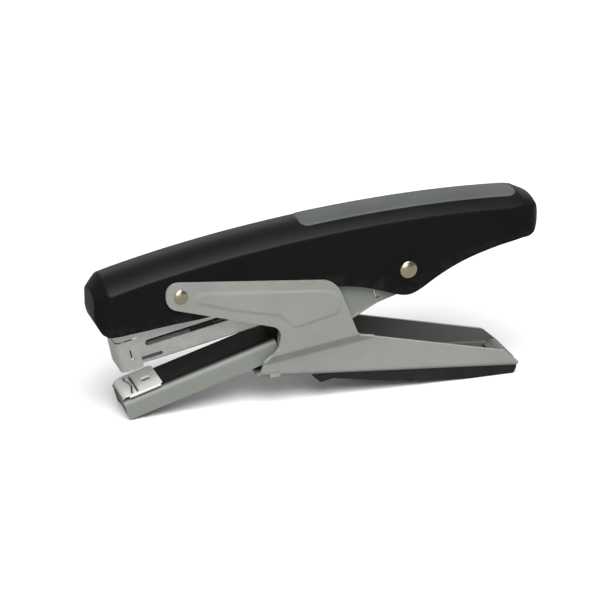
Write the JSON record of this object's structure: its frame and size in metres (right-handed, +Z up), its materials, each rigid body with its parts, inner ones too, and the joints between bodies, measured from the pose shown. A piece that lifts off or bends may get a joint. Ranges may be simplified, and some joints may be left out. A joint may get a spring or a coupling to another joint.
{
  "type": "plier stapler",
  "caption": "Hand-held pliers stapler: moulded upper handle, pressed steel lower handle, riveted anvil arm and a sprung staple magazine between the jaws.",
  "frame": {"origin": "centre of the bounding box in plan, on the surface the stapler stands on", "axes": "+X runs from the nose to the heel of the handles, +Y across the stapler, +Z up"},
  "size_m": [0.1719, 0.0288, 0.072],
  "materials": {
    "black_plastic": "fine satin moulding",
    "soft_insert": "matte soft grip",
    "spring_steel": "plain cold rolled",
    "rivet_nickel": "nickel plated",
    "zinc_plate": "bright zinc plated",
    "brass_rivet": "dull plated",
    "staple_wire": "galvanised wire",
    "grey_paint": "satin grey enamel"
  },
  "bodies": {
    "upper_handle": {"top_cover": "black_plastic", "grip_insert": "soft_insert", "inner_lever": "spring_steel", "driver_blade": "spring_steel", "driver_rivets": "rivet_nickel", "magazine_spring": "spring_steel", "spring_rivet": "rivet_nickel", "opening_spring": "spring_steel", "rear_rivet": "rivet_nickel", "front_bush": "zinc_plate"},
    "lower_handle": {"lower_handle": "grey_paint", "front_rivet": "rivet_nickel", "lower_grip": "black_plastic", "lift_saddle": "grey_paint"},
    "anvil_arm": {"anvil_arm": "grey_paint", "anvil_plate": "zinc_plate", "anvil_rivet": "brass_rivet"},
    "magazine": {"magazine_channel": "zinc_plate", "magazine_head": "zinc_plate", "staple_rail": "zinc_plate", "staple_strip": "staple_wire", "guide_rod": "spring_steel", "rod_stop": "black_plastic", "pusher_spring": "spring_steel", "magazine_bracket": "zinc_plate", "bracket_rivets": "rivet_nickel"},
    "pusher": {"staple_pusher": "black_plastic"}
  },
  "joints": [
    {"name": "squeeze", "type": "hinge", "parent": "upper_handle", "child": "lower_handle", "pos_m": [-0.0553, 0, 0.0476], "axis": [0, -1, 0], "range_deg": [0, 11], "stiffness_Nm_per_rad": 5, "springref_deg": -17.19},
    {"name": "jaw", "type": "hinge", "parent": "upper_handle", "child": "anvil_arm", "pos_m": [0.0322, 0, 0.0472], "axis": [0, 1, 0], "range_deg": [0, 8.36], "deforming": ["opening_spring"]},
    {"name": "magazine_swing", "type": "hinge", "parent": "upper_handle", "child": "magazine", "pos_m": [0.0322, 0, 0.0472], "axis": [0, 1, 0], "range_deg": [0, 4.07], "deforming": ["magazine_spring"]},
    {"name": "pusher_slide", "type": "slide", "parent": "magazine", "child": "pusher", "axis": [0.9799, 0, 0.1994], "range_m": [0, 0.03], "stiffness_N_per_m": 25, "springref_m": -0.02, "deforming": ["pusher_spring"]}
  ],
  "couplings": [
    {"joint": "jaw", "follows": "squeeze", "ratio": 0.76},
    {"joint": "magazine_swing", "follows": "squeeze", "ratio": 0.37}
  ]
}
